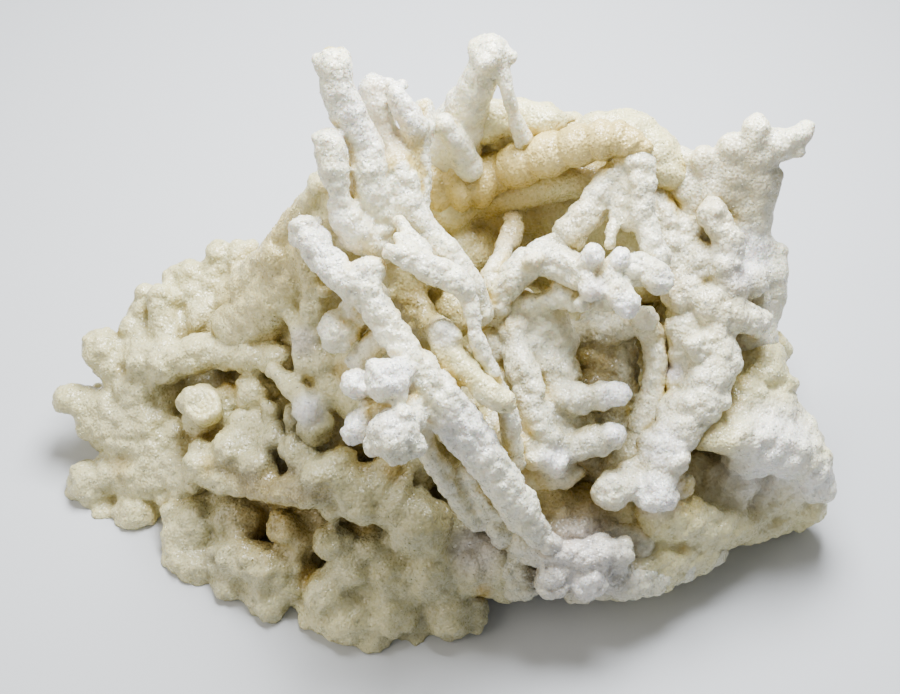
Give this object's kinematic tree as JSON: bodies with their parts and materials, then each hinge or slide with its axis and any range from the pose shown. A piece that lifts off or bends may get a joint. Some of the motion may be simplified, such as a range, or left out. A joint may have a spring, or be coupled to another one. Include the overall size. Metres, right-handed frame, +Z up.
{
  "type": "aragonite specimen",
  "caption": "Branching white aragonite specimen: knobbly coral-like fingers, a leaning spar and an arching branch on a lumpy base, cut flat underneath to rest on a table.",
  "frame": {"origin": "on the table, under the middle of the specimen's box", "axes": "+X towards the low cluster's opposite end, the longest way; -Y towards the side with the leaning spar; +Z up from the flat cut"},
  "size_m": [0.148, 0.0854, 0.0884],
  "materials": {
    "aragonite_cream": "sugary, matt",
    "aragonite_white": "sugary, matt, slightly translucent",
    "aragonite_tan": "matt"
  },
  "bodies": {
    "root": {"base_mass": "aragonite_cream", "left_cluster": "aragonite_cream", "lower_right": "aragonite_cream", "back_wall": "aragonite_cream", "stem": "aragonite_cream", "right_wing": "aragonite_white", "right_ridge": "aragonite_white", "inner_fingers": "aragonite_white", "front_knobs": "aragonite_white", "front_spar": "aragonite_white", "plume": "aragonite_white", "slender_branch": "aragonite_white", "rear_spire": "aragonite_white", "arch_branch": "aragonite_tan", "hanging_fingers": "aragonite_white", "curtain": "aragonite_white"}
  },
  "joints": []
}
